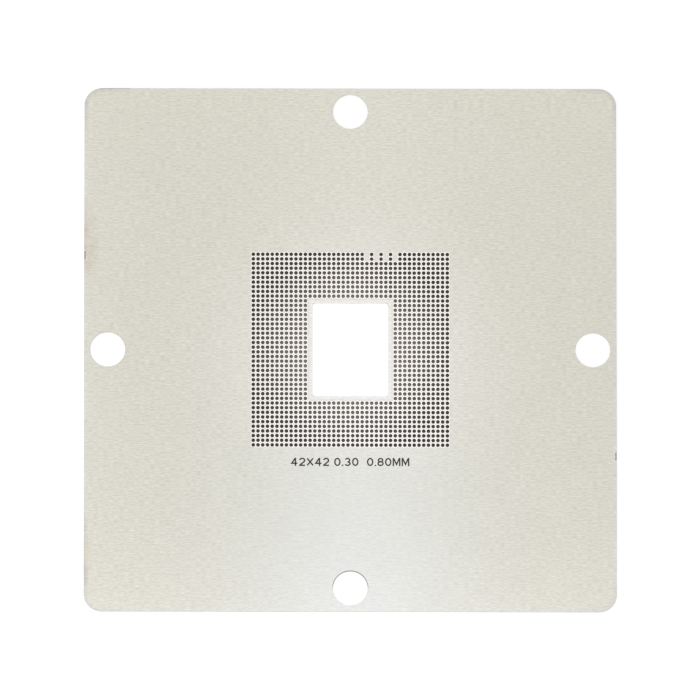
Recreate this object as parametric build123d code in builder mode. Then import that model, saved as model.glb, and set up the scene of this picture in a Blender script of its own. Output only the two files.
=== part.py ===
from build123d import *
import os

# A solder-ball stencil: one flat stainless sheet, pierced by a square array of small round
# apertures that drop one ball on each pad of a chip. The origin is the middle of the face that
# the sheet lies on, +Z is up through the sheet, and +Y is the side nearest the key gaps.
# All sizes are in millimetres.

# Sheet
sheet_side = 90.0
sheet_thickness = 0.3
corner_radius = 3.0

# Locating holes, one near the middle of each side, for the pins of the stencil holder
locating_hole_diameter = 5.9
locating_hole_inset = 4.0

# Apertures: each is a little wider than the ball that drops through it
ball_diameter = 0.45
ball_clearance = 0.08
ball_pitch = 0.8
array_columns = 42
array_rows = 42

# Sites left bare under the middle of the chip, and the rim between them and the window
bare_columns = 18
bare_rows = 22
window_rim = 0.8
window_corner_radius = 0.2

# Key gaps: columns, counted from the left, that are left bare in the first rows
key_columns = (24, 26, 28, 30)
key_rows = 2

# Notches where the sheet was snapped out of its carrier, each with a stub of the tab left in it
left_tab_offset = 16.2
right_tab_offset = -18.3
tab_notch_length = 1.3
tab_notch_depth = 0.2
tab_stub_length = 0.5
tab_stub_gap = 0.08

# Worked out from the sizes above
locating_circle_radius = sheet_side / 2 - locating_hole_inset
aperture_radius = (ball_diameter + ball_clearance) / 2
bare_width = bare_columns * ball_pitch
bare_height = bare_rows * ball_pitch
tab_stub_reach = tab_notch_depth - tab_stub_gap


def site(column, row):
    """The middle of a site, by its column from the left and its row from the +Y side."""
    x = (column - (array_columns - 1) / 2) * ball_pitch
    y = ((array_rows - 1) / 2 - row) * ball_pitch
    return x, y


def is_pierced(column, row):
    """Whether a site has an aperture: it is neither in the bare middle nor a key gap."""
    x, y = site(column, row)
    in_bare_middle = abs(x) < bare_width / 2 and abs(y) < bare_height / 2
    in_key_gap = row < key_rows and column in key_columns
    return not in_bare_middle and not in_key_gap


aperture_sites = [
    site(column, row)
    for row in range(array_rows)
    for column in range(array_columns)
    if is_pierced(column, row)
]

with BuildPart() as stencil:
    with BuildSketch():
        # Outline, with the notch and the stub that a carrier tab left on each side
        RectangleRounded(sheet_side, sheet_side, corner_radius)
        for side, offset in ((-1, left_tab_offset), (1, right_tab_offset)):
            with Locations((side * sheet_side / 2, offset)):
                Rectangle(2 * tab_notch_depth, tab_notch_length, mode=Mode.SUBTRACT)
            with Locations((side * (sheet_side / 2 - tab_notch_depth), offset)):
                Rectangle(2 * tab_stub_reach, tab_stub_length)

        # Locating holes
        with PolarLocations(locating_circle_radius, 4):
            Circle(locating_hole_diameter / 2, mode=Mode.SUBTRACT)

        # Window in the bare middle
        RectangleRounded(
            bare_width - 2 * window_rim,
            bare_height - 2 * window_rim,
            window_corner_radius,
            mode=Mode.SUBTRACT,
        )

        # Apertures, one over each pad
        with Locations(*aperture_sites):
            Circle(aperture_radius, mode=Mode.SUBTRACT)

    # Every wall stands straight and is one face already, so no faces are merged
    extrude(amount=sheet_thickness, clean=False)

stencil.part.label = "stencil"
os.makedirs("parts", exist_ok=True)
export_step(stencil.part, "parts/stencil.step")
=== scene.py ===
import math

import bpy
import numpy as np
from mathutils import Matrix, Vector
from mathutils.geometry import delaunay_2d_cdt


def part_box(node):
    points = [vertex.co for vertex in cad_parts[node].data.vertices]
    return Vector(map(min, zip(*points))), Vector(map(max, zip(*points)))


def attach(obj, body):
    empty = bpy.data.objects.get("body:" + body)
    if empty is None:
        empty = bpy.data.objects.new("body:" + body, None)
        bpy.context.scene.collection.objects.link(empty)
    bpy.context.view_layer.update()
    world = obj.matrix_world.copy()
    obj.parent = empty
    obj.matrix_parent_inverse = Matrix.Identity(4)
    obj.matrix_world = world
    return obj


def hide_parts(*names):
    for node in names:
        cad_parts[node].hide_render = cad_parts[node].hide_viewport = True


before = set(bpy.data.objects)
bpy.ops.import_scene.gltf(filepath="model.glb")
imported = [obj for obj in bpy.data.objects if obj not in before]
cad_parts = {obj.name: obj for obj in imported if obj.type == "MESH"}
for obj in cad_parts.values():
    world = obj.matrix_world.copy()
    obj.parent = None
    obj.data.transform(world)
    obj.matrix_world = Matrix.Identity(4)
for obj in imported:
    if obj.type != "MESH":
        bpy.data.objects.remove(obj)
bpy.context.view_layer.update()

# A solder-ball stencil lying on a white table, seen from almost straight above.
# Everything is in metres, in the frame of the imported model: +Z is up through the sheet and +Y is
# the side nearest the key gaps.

MM = 0.001

_, sheet_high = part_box("stencil")

# Sheet
HALF_SIDE = sheet_high.x
TOP = sheet_high.z
CORNER_RADIUS = 3.0 * MM
HOLE_RADIUS = 2.95 * MM
HOLE_INSET = 4.0 * MM
EDGE_BREAK = 0.02 * MM

# Ball array, with the bare middle round the window
PITCH = 0.8 * MM
COLUMNS = ROWS = 42
BARE_COLUMNS = 18
BARE_ROWS = 22
APERTURE_RADIUS = 0.265 * MM
KEY_COLUMNS = (24, 26, 28, 30)
KEY_ROWS = 2
WINDOW_RIM = 0.8 * MM
WINDOW_CORNER = 0.2 * MM

# Snapped carrier tabs: where each side has its notch, and the stub in it
LEFT_TAB = 16.2 * MM
RIGHT_TAB = -18.3 * MM
NOTCH_LENGTH = 1.3 * MM
NOTCH_DEPTH = 0.2 * MM
STUB_LENGTH = 0.5 * MM
STUB_GAP = 0.08 * MM

# How dark each cut edge's wall is drawn, from 0 to 1. On the locating holes' walls this is painted
# shadow
OUTLINE_WALL_DARKNESS = 0.3
TAB_SOOT = 1.0
WINDOW_SOOT = 0.05
HOLE_WALL_SHADOWS = (0.35, 0.30, 0.35, 0.85)

# How far painted shade darkens the face round each aperture, how much further in the outer rows,
# and how far painted shadow reaches above the front locating hole
APERTURE_SHADE_RIM = 0.039 * MM
OUTER_SHADE_WIDENING = 0.010 * MM
FRONT_HOLE_SHADOW = 0.12 * MM

# Legend of plain sizes in front of the array, drawn in even strokes: the sites each way, the
# sheet's thickness and the pitch. The gaps are shares of the letters' height. The mark stands
# proud by a hair, and each further stroke of a letter by one step more, so that no faces coincide
LEGEND = "42X42 0.30  0.80MM"
LEGEND_WIDTH = 20.0 * MM
LEGEND_MIDDLE = (-0.03 * MM, -19.30 * MM)
CAP_HEIGHT = 1.42 * MM
STROKE = 0.24 * MM
LETTER_GAP = 0.36
WORD_GAP = 0.50
LEGEND_PROUD = 0.005 * MM
STROKE_STEP = 0.0005 * MM

# How finely round shapes are divided, and the angle from which an edge is drawn sharp
APERTURE_SIDES = 16
HOLE_SIDES = 96
CORNER_STEPS = 16
WINDOW_STEPS = 6
ARC_STEPS = 14
OVAL_STEPS = 24
SHARP_ANGLE = math.radians(30)

# How close two points in millimetres have to be to count as one when the flat face is filled
SAME_POINT = 1e-7

# The flat pattern, which fills a square from 0 to 1: how much of an aperture's radius its wall
# takes up there, how far the upper face and the walls reach, and where the underside starts and
# how wide it is
APERTURE_WALL_SHARE = 0.6
UPPER_WIDTH = 0.695
UNDER_START = 0.70
UNDER_WIDTH = 0.295

# The table: half its side, its corners, and how far it lies under the sheet
TABLE_HALF_SIDE = 3.0
TABLE_CORNER = 0.5
TABLE_STEPS = 8
TABLE_GAP = 0.02 * MM

# The camera's place in the photograph, in degrees, and in metres from its target on the sheet.
# Then its lens and sensor in millimetres, and how near and how far it sees
VIEW_AZIMUTH = 3.143
VIEW_ELEVATION = 79.215
VIEW_ROLL = 3.199
VIEW_DISTANCE = 4.886
VIEW_TARGET = (-0.058 * MM, -0.057 * MM, 0.3 * MM)
VIEW_LENS = 1486.6
VIEW_SENSOR = 36.0
VIEW_CLIP = (0.1, 20.0)


def circle(middle, radius, sides):
    """A circle as a closed path, anticlockwise: its middle plus the radius times (cos t, sin t),
    where t goes once round in even steps."""
    t = np.arange(sides) * 2 * math.pi / sides
    return np.asarray(middle) + radius * np.column_stack((np.cos(t), np.sin(t)))


def rounded_rectangle(half_x, half_y, radius, steps):
    """A rectangle with round corners, anticlockwise from the lower right corner: in each quarter
    t turns 90 degrees, and a point is the corner's centre plus the radius times (cos t, sin t)."""
    t = np.linspace(0, math.pi / 2, steps + 1) + np.radians([-90, 0, 90, 180])[:, None]
    centres = np.array([(1, -1), (1, 1), (-1, 1), (-1, -1)]) * (half_x - radius, half_y - radius)
    return (centres[:, None] + radius * np.stack((np.cos(t), np.sin(t)), -1)).reshape(-1, 2)


def tab_notch(side, offset):
    """A snapped tab's notch, in the order that an anticlockwise outline meets it: steps in from
    the edge by the notch's depth, out again over the stub, and back."""
    along = np.array([-NOTCH_LENGTH, -NOTCH_LENGTH, -STUB_LENGTH, -STUB_LENGTH]) / 2
    inward = np.array([0, NOTCH_DEPTH, NOTCH_DEPTH, STUB_GAP])
    along = np.concatenate((along, -along[::-1]))
    inward = np.concatenate((inward, inward[::-1]))
    return np.column_stack((side * (HALF_SIDE - inward), offset + side * along))


def sheet_outline():
    """The sheet's outline, a rounded square whose right and left sides have the tab notches, and
    how dark its wall is at each point."""
    square = rounded_rectangle(HALF_SIDE, HALF_SIDE, CORNER_RADIUS, CORNER_STEPS)
    quarter = CORNER_STEPS + 1
    runs = (square[:quarter], tab_notch(1, RIGHT_TAB), square[quarter:3 * quarter],
            tab_notch(-1, LEFT_TAB), square[3 * quarter:])
    wall_darkness = (OUTLINE_WALL_DARKNESS, TAB_SOOT, OUTLINE_WALL_DARKNESS, TAB_SOOT, OUTLINE_WALL_DARKNESS)
    return np.concatenate(runs), np.repeat(wall_darkness, [len(run) for run in runs])


def shifted(path, distance, closed=True):
    """A path moved to the right of its own direction, which is outwards for a closed anticlockwise
    one: each point goes along the sum of its two sides' normals, divided by one plus their dot
    product, times the distance."""
    along = np.roll(path, -1, 0) - path
    if not closed:
        along[-1] = along[-2]
    along /= np.linalg.norm(along, axis=1)[:, None]
    after = np.column_stack((along[:, 1], -along[:, 0]))
    before = np.roll(after, 1, 0)
    if not closed:
        before[0] = after[0]
    return path + distance * (after + before) / (1 + (after * before).sum(1))[:, None]


def encloses(path, points):
    """Whether a closed path goes round each point: a ray from the point towards +X crosses the
    path an odd number of times."""
    x, y = points[:, :1], points[:, 1:]
    x0, y0 = path.T
    x1, y1 = np.roll(path, -1, 0).T
    spans = (y0 > y) != (y1 > y)
    with np.errstate(divide="ignore", invalid="ignore"):
        crossing = x0 + (y - y0) * (x1 - x0) / (y1 - y0)
    return (spans & (x < crossing)).sum(1) % 2 == 1


# A cut edge from the upper face to the lower one: how far each line stands back from the cut, its
# height, whether it belongs to the cut's wall, and its length down the profile
CUT_INSETS = np.array([EDGE_BREAK, 0, 0, EDGE_BREAK])
CUT_HEIGHTS = np.array([TOP, TOP - EDGE_BREAK, EDGE_BREAK, 0])
CUT_WALL = np.array([0.0, 1.0, 1.0, 0.0])
CUT_LENGTHS = np.concatenate((
    [0], np.cumsum(np.hypot(np.diff(CUT_INSETS), np.diff(CUT_HEIGHTS))),
))


class Sheet:
    """The parts of one mesh, collected as arrays: points, their places on the flat pattern, how
    dark each is drawn on the walls, which on the locating holes is painted shadow, whether each
    is an aperture's, and the faces of the upper side with the walls, and of the underside."""

    def __init__(self):
        self.points, self.pattern, self.wall, self.pierced = [], [], [], []
        self.count = 0
        self.upper, self.under = [], []

    def add(self, flat, height, pattern=None, wall=0.0, pierced=0.0):
        """Adds points, given as an array of (x, y), and returns their numbers in that shape."""
        shape = flat.shape[:-1]
        height = np.broadcast_to(height, shape)
        pattern = flat if pattern is None else pattern
        self.points.append(np.concatenate((flat, height[..., None]), -1).reshape(-1, 3))
        self.pattern.append(pattern.reshape(-1, 2))
        self.wall.append(np.broadcast_to(wall, shape).ravel())
        self.pierced.append(np.full(int(np.prod(shape)), pierced))
        first, self.count = self.count, self.count + int(np.prod(shape))
        return np.arange(first, self.count).reshape(shape)


def bands(numbers, inwards):
    """Quads between neighbouring lines of a cut edge, whose numbers are given as (..., line, point
    round it)."""
    after = np.roll(numbers, -1, -1)
    quads = np.stack((
        numbers[..., :-1, :], after[..., :-1, :], after[..., 1:, :], numbers[..., 1:, :],
    ), -1).reshape(-1, 4)
    return quads if inwards else quads[:, ::-1]


def cut_edge(sheet, path, hole, soot_and_shade):
    """Carries the cut edge's profile along a closed path, and returns the numbers of its points
    by line. A line is the path moved into the steel by its inset. On the flat pattern it is moved
    the other way by its length down the profile, so that the walls lie open in the gap."""
    into_steel = 1 if hole else -1
    lines = np.stack([shifted(path, into_steel * inset) for inset in CUT_INSETS])
    pattern = np.stack([
        shifted(path, into_steel * (EDGE_BREAK - length)) for length in CUT_LENGTHS
    ])
    numbers = sheet.add(lines, CUT_HEIGHTS[:, None], pattern, soot_and_shade * CUT_WALL[:, None])
    sheet.upper.append(bands(numbers, hole))
    return numbers


def flat_face(sheet, loops):
    """Fills the flat region inside the first closed loop and outside the others with triangles,
    above and below. A loop is the numbers of its points above and below."""
    above, below = (np.concatenate(runs) for runs in zip(*loops))
    points = np.concatenate(sheet.points)[above, :2]
    firsts = np.cumsum([0] + [len(run) for run, _ in loops])
    paths = [points[first:last] for first, last in zip(firsts, firsts[1:])]
    numbers = [np.arange(first, last) for first, last in zip(firsts, firsts[1:])]
    edges = [np.column_stack((run, np.roll(run, -1))) for run in numbers]
    in_mm = [Vector(point) for point in (points / MM).tolist()]
    found = delaunay_2d_cdt(in_mm, np.concatenate(edges).tolist(), [], 1, SAME_POINT, True)
    source = np.array([origin[0] for origin in found[3]])
    triangles = source[np.array(found[2])]
    middles = points[triangles].mean(1)
    in_hole = np.any([encloses(hole, middles) for hole in paths[1:]], 0)
    inside = encloses(paths[0], middles) & ~in_hole
    sheet.upper.append(above[triangles[inside]])
    sheet.under.append(below[triangles[inside]][:, ::-1])


def ball_array(sheet):
    """The array of sites. Site (i, j) is the square between lattice lines i, i + 1 and j, j + 1,
    each at the pitch times its number less half the number of sites. A pierced site has a ring of
    points round its aperture on each line of the cut edge, at the site's middle plus the radius
    times (cos t, sin t), and each corner of the square is joined to the quarter of the ring that
    faces it."""
    x = (np.arange(COLUMNS + 1) - COLUMNS / 2) * PITCH
    y = (np.arange(ROWS + 1) - ROWS / 2) * PITCH
    lattice = np.stack(np.meshgrid(x, y, indexing="ij"), -1)
    above = sheet.add(lattice, TOP)
    below = sheet.add(lattice, 0.0)

    i, j = np.meshgrid(np.arange(COLUMNS), np.arange(ROWS), indexing="ij")
    row = ROWS - 1 - j
    from_middle_x, from_middle_y = np.abs(i - (COLUMNS - 1) / 2), np.abs(j - (ROWS - 1) / 2)
    bare = (from_middle_x < BARE_COLUMNS / 2) & (from_middle_y < BARE_ROWS / 2)
    key_gap = np.isin(i, KEY_COLUMNS) & (row < KEY_ROWS)
    pierced = ~bare & ~key_gap

    def corners(numbers, sites):
        i, j = np.nonzero(sites)
        return np.stack((
            numbers[i + 1, j + 1], numbers[i, j + 1], numbers[i, j], numbers[i + 1, j],
        ), -1)

    # Key gaps are plain squares
    sheet.upper.append(np.roll(corners(above, key_gap), 1, 1))
    sheet.under.append(np.roll(corners(below, key_gap), 1, 1)[:, ::-1])

    # Rings round the apertures
    middles = np.column_stack((x[i[pierced]], y[j[pierced]])) + PITCH / 2
    unit_circle = circle((0, 0), 1, APERTURE_SIDES)
    radii = APERTURE_RADIUS + CUT_INSETS
    narrowed = APERTURE_RADIUS * APERTURE_WALL_SHARE / CUT_LENGTHS[-1]
    pattern_radii = radii[0] - CUT_LENGTHS * narrowed
    flat = middles[:, None, None] + radii[:, None, None] * unit_circle
    pattern = middles[:, None, None] + pattern_radii[:, None, None] * unit_circle
    numbers = sheet.add(flat, CUT_HEIGHTS[:, None], pattern, CUT_WALL[:, None], 1.0)
    sheet.upper.append(bands(numbers, True))

    # Triangles from each corner to its quarter of the ring, and one between the quarters
    quarter = APERTURE_SIDES // 4
    start = np.arange(4)[:, None] * quarter + np.arange(quarter)
    after = (start + 1) % APERTURE_SIDES
    for lattice_numbers, ring, faces, order in (
        (above, numbers[:, 0], sheet.upper, 1), (below, numbers[:, -1], sheet.under, -1),
    ):
        square = corners(lattice_numbers, pierced)
        corner = np.broadcast_to(square[:, :, None], (len(square), 4, quarter))
        fan = np.stack((corner, ring[:, after], ring[:, start]), -1)
        wedge = np.stack((square, np.roll(square, -1, 1), ring[:, after[:, -1]]), -1)
        triangles = np.concatenate((fan.reshape(-1, 3), wedge.reshape(-1, 3)))
        faces.append(triangles[:, ::order])
    return above, below


def border(numbers, low_i, high_i, low_j, high_j):
    """The lattice points round a block of sites, anticlockwise from its lower left corner."""
    i = np.arange(low_i, high_i)
    j = np.arange(low_j, high_j)
    return np.concatenate((
        numbers[i, low_j], numbers[high_i, j],
        numbers[i[::-1] + 1, high_j], numbers[low_i, j[::-1] + 1],
    ))


def sheet_mesh():
    """The whole stencil as one closed mesh: the array, the window's rim, and the plain sheet
    between the array and the outline with its four locating holes."""
    sheet = Sheet()
    above, below = ball_array(sheet)

    outline, outline_darkness = sheet_outline()
    outline_numbers = cut_edge(sheet, outline, False, outline_darkness)
    window = rounded_rectangle(
        BARE_COLUMNS * PITCH / 2 - WINDOW_RIM, BARE_ROWS * PITCH / 2 - WINDOW_RIM,
        WINDOW_CORNER, WINDOW_STEPS,
    )
    window_numbers = cut_edge(sheet, window, True, WINDOW_SOOT)
    reach = HALF_SIDE - HOLE_INSET
    holes = [circle(middle, HOLE_RADIUS, HOLE_SIDES)
             for middle in ((reach, 0), (0, reach), (-reach, 0), (0, -reach))]
    # The locating holes' walls are drawn dark as painted shadow, most on the front hole
    hole_numbers = [cut_edge(sheet, hole, True, soot_and_shade) for hole, soot_and_shade in zip(holes, HOLE_WALL_SHADOWS)]

    side_i, side_j = (COLUMNS - BARE_COLUMNS) // 2, (ROWS - BARE_ROWS) // 2
    array = (0, COLUMNS, 0, ROWS)
    middle = (side_i, COLUMNS - side_i, side_j, ROWS - side_j)
    array_loop, middle_loop = (
        (border(above, *block), border(below, *block)) for block in (array, middle)
    )
    outline_loop, window_loop, *hole_loops = (
        (numbers[0], numbers[-1]) for numbers in (outline_numbers, window_numbers, *hole_numbers)
    )
    flat_face(sheet, [outline_loop, array_loop, *hole_loops])
    flat_face(sheet, [middle_loop, window_loop])
    return sheet


def build_sheet():
    """Makes the sheet's mesh object, with its flat pattern as a UV map, and with its walls and
    its apertures' points marked."""
    sheet = sheet_mesh()
    points = np.concatenate(sheet.points)
    pattern = np.concatenate(sheet.pattern)
    blocks = sheet.upper + sheet.under
    corners = np.concatenate([faces.ravel() for faces in blocks])
    is_under = np.arange(len(corners)) >= sum(faces.size for faces in sheet.upper)
    sizes = np.concatenate([np.full(len(faces), faces.shape[1]) for faces in blocks])

    # Lattice points in the bare middle belong to no face, and are left out
    used, renumbered = np.unique(corners, return_inverse=True)

    mesh = bpy.data.meshes.new("stencil_sheet")
    mesh.vertices.add(len(used))
    mesh.vertices.foreach_set("co", points[used].astype(np.float32).ravel())
    mesh.loops.add(len(corners))
    mesh.loops.foreach_set("vertex_index", renumbered.astype(np.int32).ravel())
    mesh.polygons.add(len(sizes))
    mesh.polygons.foreach_set("loop_start", (np.cumsum(sizes) - sizes).astype(np.int32))
    mesh.update(calc_edges=True)
    mesh.shade_smooth()
    mesh.set_sharp_from_angle(angle=SHARP_ANGLE)

    # The upper face and the walls fill most of the map, and the underside a smaller square
    reach = HALF_SIDE + TOP + EDGE_BREAK
    placed = (pattern[corners] + reach) / (2 * reach)
    placed = np.where(is_under[:, None], UNDER_START + UNDER_WIDTH * placed, UPPER_WIDTH * placed)
    layer = mesh.uv_layers.new(name="OFBake")
    layer.uv.foreach_set("vector", placed.astype(np.float32).ravel())
    for name, values in (("cut", sheet.wall), ("pierced", sheet.pierced)):
        attribute = mesh.attributes.new(name, "FLOAT", "POINT")
        attribute.data.foreach_set("value", np.concatenate(values)[used].astype(np.float32))

    made = bpy.data.objects.new("stencil_sheet", mesh)
    bpy.context.collection.objects.link(made)
    return made


def arc(middle_x, middle_y, radius_x, radius_y, start, stop, steps=ARC_STEPS):
    """Part of an ellipse: its middle plus (radius_x cos t, radius_y sin t), t in degrees."""
    t = np.radians(np.linspace(start, stop, steps))
    return np.column_stack((middle_x + radius_x * np.cos(t), middle_y + radius_y * np.sin(t)))


def straight(*points):
    """A path that goes straight from each point to the next."""
    return np.array(points, float)


def oval(middle_y, radius_x, radius_y):
    """A closed oval in the middle of a letter's width."""
    return arc(0.5, middle_y, radius_x, radius_y, 0, 360 - 360 / OVAL_STEPS, OVAL_STEPS)


# Each letter's width over its height, and its strokes in a box one wide and one high. A stroke is
# a path, and whether it is closed. Straight ends reach past the box by half a stroke, level with
# the outside of the round letters.
LETTERS = {
    "0": (0.70, [(oval(0.5, 0.5, 0.5), True)]),
    "2": (0.70, [
        (np.concatenate((arc(0.5, 0.71, 0.48, 0.29, 170, -35), straight((0.02, 0.02)))), False),
        (straight((-0.09, 0.0), (1.08, 0.0)), False),
    ]),
    "3": (0.68, [
        (arc(0.47, 0.755, 0.43, 0.245, 160, -90), False),
        (arc(0.47, 0.255, 0.50, 0.255, 90, -160), False),
    ]),
    "4": (0.74, [
        (straight((0.72, -0.1), (0.72, 1.1)), False),
        (straight((0.66, 1.02), (0.02, 0.29), (1.08, 0.29)), False),
    ]),
    "8": (0.70, [(oval(0.76, 0.42, 0.24), True), (oval(0.27, 0.49, 0.27), True)]),
    "X": (0.80, [
        (straight((-0.01, -0.02), (1.01, 1.02)), False),
        (straight((-0.01, 1.02), (1.01, -0.02)), False),
    ]),
    "M": (0.88, [
        (straight((0.0, -0.1), (0.0, 1.1)), False),
        (straight((1.0, -0.1), (1.0, 1.1)), False),
        (straight((0.04, 1.04), (0.5, 0.16), (0.96, 1.04)), False),
    ]),
    ".": (0.02, [(straight((0.5, -0.1), (0.5, 0.1)), False)]),
}


def stroke_faces(path, closed, height):
    """Carries a flat bar's section along a path: the section's four corners stand half a stroke
    to the right and left of the path, below and above the sheet's face. Open ends are capped."""
    sides = [shifted(path, across * STROKE / 2, closed) for across in (1, 1, -1, -1)]
    levels = [TOP - LEGEND_PROUD, height, height, TOP - LEGEND_PROUD]
    points = np.stack([
        np.column_stack((side, np.full(len(side), level))) for side, level in zip(sides, levels)
    ], 1)
    numbers = np.arange(points.size // 3).reshape(-1, 4)
    after = np.roll(numbers, -1, 0)
    here, there = (numbers, after) if closed else (numbers[:-1], after[:-1])
    sides_of_bar = (here, there, np.roll(there, -1, 1), np.roll(here, -1, 1))
    quads = np.stack(sides_of_bar, -1).reshape(-1, 4)
    if not closed:
        quads = np.concatenate((quads, numbers[:1], numbers[-1:, ::-1]))
    return points.reshape(-1, 3), quads


def build_legend():
    """The plain sizes, marked as a thin dark layer on the upper face. The letters are set in a
    row with even gaps, and the row is spread to the legend's width about its middle."""
    height = CAP_HEIGHT - STROKE
    starts, reach = [], 0.0
    for letter in LEGEND:
        starts.append(reach)
        reach += WORD_GAP if letter == " " else LETTERS[letter][0] + LETTER_GAP
    spread = (LEGEND_WIDTH - STROKE) / (reach - LETTER_GAP)
    corner = np.array(LEGEND_MIDDLE) - ((LEGEND_WIDTH - STROKE) / 2, height / 2)

    points, faces, count = [], [], 0
    for letter, start in zip(LEGEND, starts):
        width, strokes = LETTERS.get(letter, (0.0, []))
        for order, (path, closed) in enumerate(strokes):
            placed = corner + path * (width * spread, height) + (start * spread, 0.0)
            top = TOP + LEGEND_PROUD + order * STROKE_STEP
            new_points, new_faces = stroke_faces(placed, closed, top)
            points.append(new_points)
            faces.append(new_faces + count)
            count += len(new_points)
    mesh = bpy.data.meshes.new("legend")
    mesh.from_pydata(np.concatenate(points).tolist(), [], np.concatenate(faces).tolist())
    made = bpy.data.objects.new("legend", mesh)
    bpy.context.collection.objects.link(made)
    return made


class Nodes:
    """Short calls for building the nodes of a material or a world."""

    def __init__(self, owner):
        owner.use_nodes = True
        self.owner = owner
        self.tree = owner.node_tree
        self.tree.nodes.clear()

    def add(self, kind, inputs=None, **settings):
        """A new node. Each input is linked when it is given another node's output, and otherwise
        set, where a colour is given without its fourth number."""
        node = self.tree.nodes.new(kind)
        for name, value in settings.items():
            setattr(node, name, value)
        for name, value in (inputs or {}).items():
            socket = node.inputs[name]
            if isinstance(value, bpy.types.NodeSocket):
                self.tree.links.new(value, socket)
            else:
                socket.default_value = (*value, 1.0) if socket.type == "RGBA" else value
        return node

    def maths(self, operation, a, b):
        return self.add("ShaderNodeMath", {0: a, 1: b}, operation=operation).outputs[0]

    def times(self, a, b):
        return self.maths("MULTIPLY", a, b)

    def vector(self, operation, *inputs):
        """The vector that an operation gives, or its number where it gives one."""
        node = self.add("ShaderNodeVectorMath", dict(enumerate(inputs)), operation=operation)
        return node.outputs["Value" if operation in ("LENGTH", "DISTANCE") else "Vector"]

    def part(self, place, axis):
        return self.add("ShaderNodeSeparateXYZ", {0: place}).outputs[axis]

    def attribute(self, name):
        return self.add("ShaderNodeAttribute", attribute_name=name).outputs["Fac"]

    def swing(self, value, amount):
        """One plus the amount times how far the value, from 0 to 1, is above a half."""
        return self.maths("ADD", self.times(self.maths("SUBTRACT", value, 0.5), amount), 1.0)

    def scaled(self, value, low, high, to_low=0.0, to_high=1.0, curve="LINEAR"):
        """The value carried from one range to another, and held at its ends."""
        return self.add("ShaderNodeMapRange", {
            "Value": value, "From Min": low, "From Max": high, "To Min": to_low, "To Max": to_high,
        }, interpolation_type=curve).outputs[0]

    def noise(self, place, cells_x, cells_y, detail):
        """Noise that repeats so many times to the metre along X and along Y."""
        mapping = self.add("ShaderNodeMapping", {
            "Vector": place, "Scale": (cells_x, cells_y, 1.0),
        })
        return self.add("ShaderNodeTexNoise", {
            "Vector": mapping.outputs[0], "Scale": 1.0, "Detail": detail,
            "Roughness": NOISE_ROUGHNESS,
        }).outputs["Fac"]

    def mix(self, share, a, b, blend="MIX"):
        """The colour a, turning into b as the share goes from 0 to 1."""
        return self.add("ShaderNodeMix", {0: share, 6: a, 7: b}, data_type="RGBA",
                        blend_type=blend).outputs[2]

    def moved(self, place, x, y):
        """The place as seen from a point on the sheet."""
        return self.vector("SUBTRACT", place, (x, y, 0.0))

    def near(self, place, point, radius):
        """1 at a point, falling smoothly to 0 at the radius."""
        gap = self.vector("DISTANCE", place, point)
        return self.scaled(gap, 0.0, radius, 1.0, 0.0, "SMOOTHSTEP")

    def within(self, place, half_x, half_y, blur):
        """1 inside a rectangle about the Z axis, falling to 0 over the blur at its sides."""
        past_x = self.maths("SUBTRACT", self.maths("ABSOLUTE", self.part(place, 0), 0.0), half_x)
        past_y = self.maths("SUBTRACT", self.maths("ABSOLUTE", self.part(place, 1), 0.0), half_y)
        return self.scaled(self.maths("MAXIMUM", past_x, past_y), -blur, 0.0, 1.0, 0.0)

    def from_inner_square(self, place):
        """How far a point is from the square that the corners are rounded about, which is the
        corner radius at the outline: the length of what abs(place) has beyond that square."""
        inner = HALF_SIDE - CORNER_RADIUS
        beyond = self.moved(self.vector("ABSOLUTE", place), inner, inner)
        beyond = self.vector("MULTIPLY", beyond, (1.0, 1.0, 0.0))
        return self.vector("LENGTH", self.vector("MAXIMUM", beyond, (0.0, 0.0, 0.0)))


# Colours of the clean steel: the plain sheet, towards the array, the ring round each aperture,
# the window's rim, and along the outline
STEEL = (0.669, 0.652, 0.569)
FIELD_STEEL = (0.826, 0.784, 0.738)
POLISHED = (1.0, 0.945, 0.880)
WINDOW_STEEL = (0.785, 0.762, 0.715)
EDGE_STEEL = (0.668, 0.655, 0.620)

# Colours of the tints, of the cut walls and the painted shade laid over the steel, of the legend,
# and of the light that comes up under the array
STRAW = (0.58, 0.50, 0.41)
AMBER = (0.645, 0.590, 0.465)
# A darker grey along the left edge near the front
LEFT_EDGE_GREY = (0.540, 0.525, 0.465)
CUT_STEEL_AND_SHADE = (0.10, 0.092, 0.082)
MARK_INK = (0.026, 0.022, 0.017)
UNDER_GLOW = (1.0, 0.90, 0.79)
WHITE = (1.0, 1.0, 1.0)

# Noises: how many times each repeats to the metre along X and along Y, and its detail
NOISE_ROUGHNESS = 0.55
STREAK = (1150.0, 4600.0, 1.5)
DRAWN = (300.0, 3200.0, 2.0)
CLOUD = (110.0, 140.0, 3.0)
MOTTLE = (420.0, 330.0, 2.0)
BURN = (2600.0, 2600.0, 1.0)
SPECK = (3500.0, 3500.0, 2.0)

# How much the noises change how light the steel is. The streaks do so less in the calm part in
# front, which is given by its middle and its reach. Here and below, a name that ends in RAMP has
# a range and, where that isn't 0 to 1, what its two ends are carried to
CALM_MIDDLE = (0.0, -33 * MM, TOP)
CALM_REACH = 30 * MM
STREAK_RAMP = (0.0, 0.8, 0.46, 0.27)
DRAWN_SWING = 0.16
CLOUD_SWING = 0.05

# The soft halo round the array: its reach, how many times shorter that is along each axis, and
# how much of the other steel is in its middle
HALO_REACH = 36 * MM
HALO_NARROWING = (1.0, 1.25, 1.0)
HALO_SHARE = 0.45

# The window's rim, as half sides and blur, and the polished ring round each aperture. The mark
# that pierced sites have fades towards their corners, and counts in full from a tenth on
WINDOW_BAND = (7.1 * MM, 8.7 * MM, 0.4 * MM)
RING_RAMP = (0.40 * MM, 0.468 * MM, 1.0, 0.0)
PIERCED_RAMP = (0.0, 0.1)

# How wide the band of more neutral steel along the outline is, and how the calm part weakens it
EDGE_BAND = 0.75 * MM
EDGE_RAMP = (0.0, 0.6, 1.0, 0.0)

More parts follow.
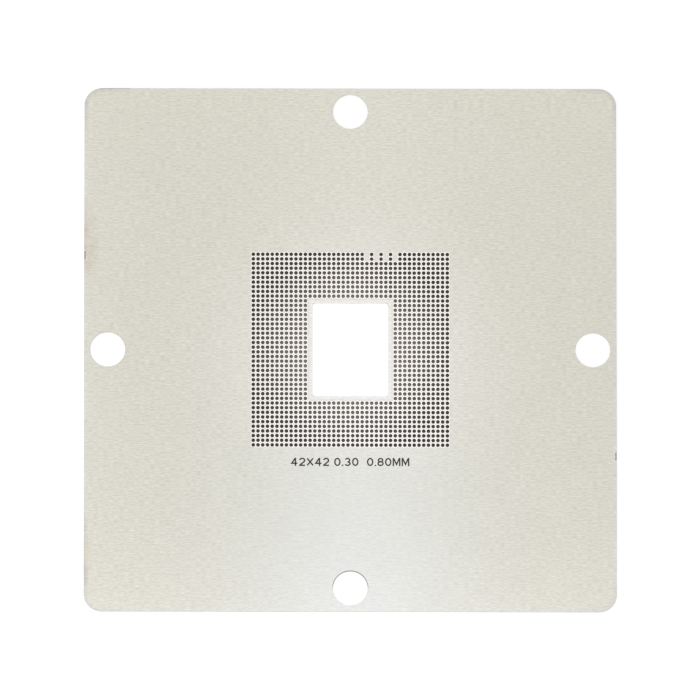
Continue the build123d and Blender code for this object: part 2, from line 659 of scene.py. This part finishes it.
# Tints along the left edge: colour, middle along the edge, reach, and how many times shorter the
# reach is across the edge. The mottle makes them uneven
LEFT_TINTS = (
    (STRAW, LEFT_TAB + 2 * MM, 9.5 * MM, 3.0),
    (AMBER, -36.2 * MM, 9.5 * MM, 6.0),
    (LEFT_EDGE_GREY, -36.2 * MM, 12.0 * MM, 12.0),
)
MOTTLE_RAMP = (0.35, 0.65, 0.3, 1.2)

# Painted shade rims: the apertures' grow wider away from the window, and the front locating
# hole's painted shadow lies on its upper half only
INNER_REACH = 24 * MM
SHADE_WIDENING_RAMP = (0.2, 0.6, OUTER_SHADE_WIDENING, 0.0)
FRONT_HOLE_SHADOW_RAMP = (HOLE_RADIUS + 0.6 * FRONT_HOLE_SHADOW, HOLE_RADIUS + FRONT_HOLE_SHADOW, 0.85, 0.0)
HOLE_UPPER_RAMP = (-0.2 * MM, 0.6 * MM)

# Burnt marks on the face by the snapped tabs, as half sides and blur, and how uneven they are
TAB_MARK = (0.15 * MM, 0.6 * MM, 0.1 * MM)
BURN_RAMP = (0.38, 0.6, 0.3, 0.9)

# Darker rounded corners: from how far off the array's middle, over what distance from the square
# that they are rounded about, and how dark from the front to the back
CORNER_RAMP = (57.5 * MM, 61 * MM)
CORNER_EDGE_RAMP = (CORNER_RADIUS - 0.9 * MM, CORNER_RADIUS - 0.2 * MM)
CORNER_DARKNESS_RAMP = (-45 * MM, 45 * MM, 0.06, 0.15)

# Painted dark reflection along the back edge near the left corner: middle, half sides and blur,
# darkness
BACK_LINE_X = -39.8 * MM
BACK_LINE = (2.6 * MM, 0.16 * MM, 0.06 * MM)
BACK_LINE_DARK_REFLECTION = 0.45

# How the grain catches the light
STEEL_ROUGHNESS = 0.36
ROUGHNESS_SWING = 0.25
STREAK_RELIEF = 0.6
STEEL_BUMP = 0.12
BUMP_HEIGHT = 0.01 * MM
ANISOTROPY = 0.6
GRAIN_TURN = 0.25


def clean_steel(n, place, calm, off_centre, pierced_mark, from_inner):
    """The colour of the clean sheet: lighter towards the array, with its own shade on the
    window's rim, polished round each aperture, more neutral along the outline, and tinted on the
    left edge."""
    halo = n.near(n.vector("MULTIPLY", place, HALO_NARROWING), (0.0, 0.0, TOP), HALO_REACH)
    colour = n.mix(n.times(halo, HALO_SHARE), STEEL, FIELD_STEEL)
    colour = n.mix(n.within(place, *WINDOW_BAND), colour, WINDOW_STEEL)
    ring = n.scaled(off_centre, *RING_RAMP)
    colour = n.mix(n.times(ring, pierced_mark), colour, POLISHED)
    edge = n.scaled(from_inner, CORNER_RADIUS - EDGE_BAND, CORNER_RADIUS)
    colour = n.mix(n.times(edge, n.scaled(calm, *EDGE_RAMP)), colour, EDGE_STEEL)
    mottle = n.scaled(n.noise(place, *MOTTLE), *MOTTLE_RAMP)
    for tint, middle, reach, across in LEFT_TINTS:
        narrowed = n.vector("MULTIPLY", place, (across, 1.0, 1.0))
        share = n.near(narrowed, (-across * HALF_SIDE, middle, TOP), reach)
        colour = n.mix(n.times(share, mottle), colour, tint)
    return colour


def dark_marks(n, place, off_centre, pierced_mark, from_inner):
    """How dark each dark mark is at a place, from 0 to 1: the cut walls, painted shadow on the
    locating holes', the apertures' rims of painted shade, the front locating hole's upper rim of
    painted shadow, the snapped tabs, the corners and the line of painted dark reflection on the
    back edge."""
    # The walls' darkness, which on the locating holes' walls is painted shadow
    yield n.attribute("cut")

    # Painted shade: a dark rim round each aperture, wider in the outer rows, where less light
    # comes up
    widened = n.scaled(n.near(place, (0.0, 0.0, TOP), INNER_REACH), *SHADE_WIDENING_RAMP)
    from_rim = n.maths("SUBTRACT", off_centre, widened)
    rim_end = APERTURE_RADIUS + APERTURE_SHADE_RIM
    yield n.times(n.scaled(from_rim, rim_end, rim_end + EDGE_BREAK, 1.0, 0.0), pierced_mark)

    # Painted shadow on the face along the upper half of the front locating hole
    by_hole = n.moved(place, 0.0, HOLE_INSET - HALF_SIDE)
    rim = n.scaled(n.vector("DISTANCE", by_hole, (0.0, 0.0, TOP)), *FRONT_HOLE_SHADOW_RAMP)
    yield n.times(rim, n.scaled(n.part(by_hole, 1), *HOLE_UPPER_RAMP))

    burnt = n.scaled(n.noise(place, *BURN), *BURN_RAMP)
    for side, offset in ((-1, LEFT_TAB), (1, RIGHT_TAB)):
        by_tab = n.moved(place, side * (HALF_SIDE - NOTCH_DEPTH / 2), offset)
        yield n.times(n.within(by_tab, *TAB_MARK), burnt)

    corner = n.times(n.scaled(n.vector("LENGTH", place), *CORNER_RAMP),
                     n.scaled(from_inner, *CORNER_EDGE_RAMP))
    yield n.times(corner, n.scaled(n.part(place, 1), *CORNER_DARKNESS_RAMP))

    # Painted dark reflection: a line where the back edge catches something dark
    by_line = n.moved(place, BACK_LINE_X, HALF_SIDE)
    yield n.times(n.within(by_line, *BACK_LINE), BACK_LINE_DARK_REFLECTION)


def rolled_steel():
    """Satin stainless steel, rolled along X. Short fine streaks, longer drawn lines and a slow
    cloudiness change how light the clean sheet is by some hundredths. The darkest of the dark
    marks, several of them painted shade, is laid over it."""
    n = Nodes(bpy.data.materials.new("rolled_steel"))
    place = n.add("ShaderNodeTexCoord").outputs["Object"]
    calm = n.near(place, CALM_MIDDLE, CALM_REACH)
    streak = n.noise(place, *STREAK)
    drawn = n.noise(place, *DRAWN)
    level = n.swing(streak, n.scaled(calm, *STREAK_RAMP))
    level = n.times(level, n.swing(drawn, DRAWN_SWING))
    level = n.times(level, n.swing(n.noise(place, *CLOUD), CLOUD_SWING))
    grey = n.add("ShaderNodeCombineColor", {"Red": level, "Green": level, "Blue": level})

    # How far a point is from its site's middle: its place is taken modulo the pitch
    in_site = n.vector("WRAP", place, (PITCH, PITCH, 1.0), (0.0, 0.0, -1.0))
    off_centre = n.vector("DISTANCE", in_site, (PITCH / 2, PITCH / 2, TOP))
    pierced_mark = n.scaled(n.attribute("pierced"), *PIERCED_RAMP)
    from_inner = n.from_inner_square(place)

    colour = clean_steel(n, place, calm, off_centre, pierced_mark, from_inner)
    colour = n.mix(1.0, colour, grey.outputs[0], "MULTIPLY")
    # The darkest of the marks is laid over the colour; several of them are painted shade
    soot_and_shade = 0.0
    for mark in dark_marks(n, place, off_centre, pierced_mark, from_inner):
        soot_and_shade = n.maths("MAXIMUM", soot_and_shade, mark)
    colour = n.mix(soot_and_shade, colour, CUT_STEEL_AND_SHADE)

    relief = n.maths("ADD", n.times(streak, STREAK_RELIEF), drawn)
    bump = n.add("ShaderNodeBump", {
        "Strength": STEEL_BUMP, "Distance": BUMP_HEIGHT, "Height": relief,
    })
    grain = n.add("ShaderNodeTangent", direction_type="UV_MAP", uv_map="OFBake")
    surface = n.add("ShaderNodeBsdfPrincipled", {
        "Base Color": colour, "Metallic": 1.0,
        "Roughness": n.times(n.swing(drawn, ROUGHNESS_SWING), STEEL_ROUGHNESS),
        "Anisotropic": ANISOTROPY, "Anisotropic Rotation": GRAIN_TURN,
        "Normal": bump.outputs[0], "Tangent": grain.outputs[0],
    })
    n.add("ShaderNodeOutputMaterial", {"Surface": surface.outputs[0]})
    return n.owner


# The legend: its darkest and lightest ink as shares of its colour, its roughness and its relief
INK_SHARES = (0.6, 1.4)
INK_ROUGHNESS_RAMP = (0.3, 0.7, 0.5, 0.75)
INK_BUMP = 0.3


def mark_ink():
    """The legend's dark, slightly uneven burnt mark."""
    n = Nodes(bpy.data.materials.new("burnt_mark"))
    place = n.add("ShaderNodeTexCoord").outputs["Object"]
    speck = n.noise(place, *SPECK)
    darkest, lightest = (tuple(share * c for c in MARK_INK) for share in INK_SHARES)
    bump = n.add("ShaderNodeBump", {
        "Strength": INK_BUMP, "Distance": BUMP_HEIGHT, "Height": speck,
    })
    surface = n.add("ShaderNodeBsdfPrincipled", {
        "Base Color": n.mix(speck, darkest, lightest),
        "Roughness": n.scaled(speck, *INK_ROUGHNESS_RAMP), "Normal": bump.outputs[0],
    })
    n.add("ShaderNodeOutputMaterial", {"Surface": surface.outputs[0]})
    return n.owner


def seen_directly(n):
    """1 for camera rays and for rays off or through the part's surfaces, and 0 for other light."""
    path = n.add("ShaderNodeLightPath").outputs
    mirrored = n.maths("MAXIMUM", path["Is Glossy Ray"], path["Is Transmission Ray"])
    return n.maths("MAXIMUM", path["Is Camera Ray"], mirrored)


# The table under the array and in the notches, as half sides and blur, and the painted shade in a
# notch
UNDER_ARRAY = (17.2 * MM, 17.2 * MM, 0.1 * MM)
UNDER_WINDOW = (6.9 * MM, 8.5 * MM, 0.1 * MM)
UNDER_NOTCH = (NOTCH_DEPTH, NOTCH_LENGTH, 0.02 * MM)
NOTCH_SHADE = 0.8

# How much open sky a place on the table has within reach, and what that does to the light that
# comes up through the apertures and to the open table
SKY_REACH = 2.0 * MM
SKY_SAMPLES = 16
UNDER_SKY_RAMP = (0.20, 0.40, 0.6, 1.15)
OPEN_SKY_RAMP = (0.30, 0.48)

# The light under the array, which is stronger near the window, and the open table's own light
WINDOW_LIGHT_REACH = 22 * MM
WINDOW_LIGHT_RAMP = (0.1, 0.8, 0.055, 0.225)
OPEN_LIGHT = 0.70

# The table's own colour in the open, and the painted shade under the sheet, in notches and by
# walls
TABLE_GREY = (0.4, 0.4, 0.4)
TABLE_SHADE = (0.01, 0.01, 0.01)


def white_table():
    """The pale table: matt, and lifted to white where it is seen in the open. Under the array
    only a little warm light reaches it, and more near the window."""
    n = Nodes(bpy.data.materials.new("white_table"))
    place = n.add("ShaderNodeTexCoord").outputs["Object"]
    # Where the table gets painted shade: under the array's field, and in the open notches by the
    # tabs
    shade_mask = n.maths("SUBTRACT", n.within(place, *UNDER_ARRAY), n.within(place, *UNDER_WINDOW))
    for side, offset in ((-1, LEFT_TAB), (1, RIGHT_TAB)):
        by_tab = n.moved(place, side * (HALF_SIDE - NOTCH_DEPTH), offset)
        in_notch = n.times(n.within(by_tab, *UNDER_NOTCH), NOTCH_SHADE)
        shade_mask = n.maths("MAXIMUM", shade_mask, in_notch)

    sky = n.add("ShaderNodeAmbientOcclusion", {"Distance": SKY_REACH}, samples=SKY_SAMPLES)
    sky = sky.outputs["AO"]
    by_window = n.near(place, (0.0, 0.0, 0.0), WINDOW_LIGHT_REACH)
    under = n.times(n.scaled(by_window, *WINDOW_LIGHT_RAMP), n.scaled(sky, *UNDER_SKY_RAMP))
    in_open = n.scaled(sky, *OPEN_SKY_RAMP)
    strength = n.add("ShaderNodeMix", {0: shade_mask, 2: n.times(in_open, OPEN_LIGHT), 3: under})

    # Painted shade on the table: dark under the array, in the notches and where the sheet's walls
    # hide the sky
    dark = n.maths("MAXIMUM", shade_mask, n.maths("SUBTRACT", 1.0, in_open))
    matt = n.add("ShaderNodeBsdfDiffuse", {"Color": n.mix(dark, TABLE_GREY, TABLE_SHADE)})
    glow = n.add("ShaderNodeEmission", {
        "Color": n.mix(shade_mask, WHITE, UNDER_GLOW),
        "Strength": n.times(seen_directly(n), strength.outputs[0]),
    })
    both = n.add("ShaderNodeAddShader", {0: matt.outputs[0], 1: glow.outputs[0]})
    n.add("ShaderNodeOutputMaterial", {"Surface": both.outputs[0]})
    return n.owner


def build_table():
    """A wide flat table just under the sheet."""
    square = rounded_rectangle(TABLE_HALF_SIDE, TABLE_HALF_SIDE, TABLE_CORNER, TABLE_STEPS)
    points = np.column_stack((square, np.full(len(square), -TABLE_GAP)))
    mesh = bpy.data.meshes.new("table")
    mesh.from_pydata(points.tolist(), [], [list(range(len(points)))])
    made = bpy.data.objects.new("table", mesh)
    made.data.materials.append(white_table())
    bpy.context.collection.objects.link(made)


# Softboxes that face straight down: name, place and size along X and along Y in metres, colour
# and watts
SOFTBOXES = (
    ("long_strip", (0.004, -0.01, 0.12), (0.016, 0.14), (0.87, 0.85, 1.0), 0.0026),
    ("short_strip", (0.002, -0.037, 0.125), (0.02, 0.066), (0.13, 0.42, 1.0), 0.0033),
    ("front", (0.0, -0.075, 0.06), (0.14, 0.02), (0.95, 0.88, 1.0), 0.025),
    ("back", (0.0, 0.068, 0.04), (0.14, 0.01), (1.0, 0.82, 0.78), 0.0011),
    ("left", (-0.07, -0.005, 0.05), (0.01, 0.12), (0.8, 0.88, 1.0), 0.0185),
)

# How bright the white room is as a light. Where it is seen, it is at full brightness
ROOM_LIGHT = 0.75


def build_light():
    """A white room and small softboxes: two strips over the sheet, across the steel's grain, and
    one beyond each of the front, back and left edges."""
    n = Nodes(bpy.data.worlds.new("room"))
    bpy.context.scene.world = n.owner
    strength = n.scaled(seen_directly(n), 0.0, 1.0, ROOM_LIGHT, 1.0)
    background = n.add("ShaderNodeBackground", {"Color": WHITE, "Strength": strength})
    n.add("ShaderNodeOutputWorld", {"Surface": background.outputs[0]})

    for name, place, size, colour, watts in SOFTBOXES:
        lamp = bpy.data.lights.new(name, "AREA")
        lamp.shape = "RECTANGLE"
        lamp.size, lamp.size_y = size
        lamp.color = colour
        lamp.energy = watts
        made = bpy.data.objects.new(name, lamp)
        made.location = place
        bpy.context.collection.objects.link(made)


def build_camera():
    """The photograph's view, aimed at its target: turned about Z by the azimuth, raised by the
    elevation and rolled about its own line of sight."""
    angles = (VIEW_AZIMUTH, VIEW_ELEVATION, VIEW_ROLL)
    azimuth, elevation, roll = (math.radians(angle) for angle in angles)
    flat = math.cos(elevation)
    forward = Vector((math.sin(azimuth) * flat, math.cos(azimuth) * flat, -math.sin(elevation)))
    level = forward.cross(Vector((0, 0, 1))).normalized()
    upright = level.cross(forward)
    right = math.cos(roll) * level + math.sin(roll) * upright
    up = -math.sin(roll) * level + math.cos(roll) * upright
    lens = bpy.data.cameras.new("camera")
    lens.lens = VIEW_LENS
    lens.sensor_width = VIEW_SENSOR
    lens.clip_start, lens.clip_end = VIEW_CLIP
    camera = bpy.data.objects.new("camera", lens)
    turn = Matrix((right, up, -forward)).transposed().to_4x4()
    camera.matrix_world = Matrix.Translation(Vector(VIEW_TARGET) - forward * VIEW_DISTANCE) @ turn
    bpy.context.collection.objects.link(camera)
    bpy.context.scene.camera = camera


stencil = build_sheet()
stencil.data.materials.append(rolled_steel())
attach(stencil, "root")
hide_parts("stencil")

legend = build_legend()
legend.data.materials.append(mark_ink())
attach(legend, "root")

build_table()
build_light()
build_camera()
bpy.context.scene.view_settings.view_transform = "Standard"

bpy.context.view_layer.update()
